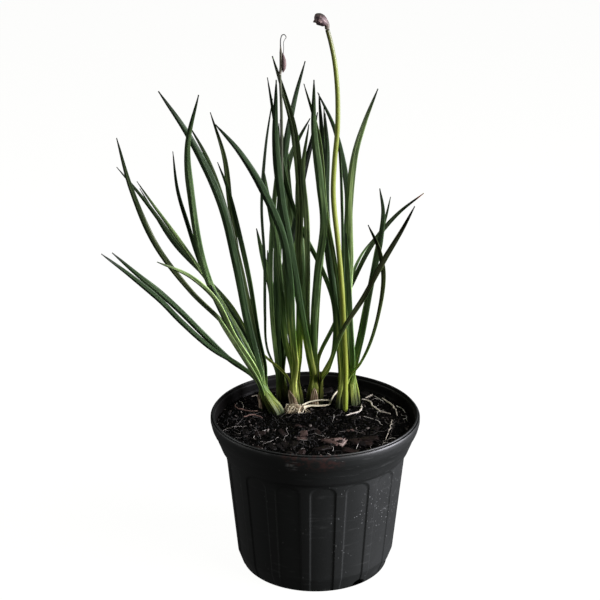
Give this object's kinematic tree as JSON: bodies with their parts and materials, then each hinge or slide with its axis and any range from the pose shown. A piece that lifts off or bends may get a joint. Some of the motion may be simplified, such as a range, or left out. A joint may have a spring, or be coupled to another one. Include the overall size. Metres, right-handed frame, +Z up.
{
  "type": "potted society garlic",
  "caption": "Society garlic in a ribbed black nursery pot: upright strap leaves in several shoots, a tall stem in bud, a withered stem, and bare roots on the potting mix.",
  "frame": {"origin": "centre of the pot's flat underside", "axes": "+Z up the plant, -Y towards the viewer of the picture, +X to that viewer's right"},
  "size_m": [0.2684, 0.2556, 0.4795],
  "materials": {
    "black_plastic": "satin moulded polypropylene with scuffs",
    "potting_mix": "rough, crumbly bark and peat",
    "leaf": "satin green leaf, yellow-green to cream at the base",
    "scape": "satin yellow-green stem",
    "bud": "dull mauve-brown spathe",
    "withered": "dry, fibrous, olive-grey to pink-brown",
    "root": "dull cream to grey-brown root",
    "dry_sheath": "papery, dry and fibrous"
  },
  "bodies": {
    "root": {"pot": "black_plastic", "potting_mix": "potting_mix", "shoot_left_front": "leaf", "shoot_left_back": "leaf", "shoot_middle_back": "leaf", "shoot_middle": "leaf", "shoot_centre": "leaf", "shoot_right_front": "leaf", "shoot_right_back": "leaf", "scape": "scape", "spathe_bud": "bud", "withered_scape": "withered", "withered_spathe": "withered", "rhizome": "root", "root_left_long": "root", "root_left_short": "root", "root_twig": "root", "root_right_hook": "root", "root_right_long": "root", "root_right_back": "root", "root_right_side": "root", "root_straw": "root", "dry_sheath_middle": "dry_sheath", "dry_sheath_centre": "dry_sheath", "dry_sheath_left": "dry_sheath"}
  },
  "joints": []
}
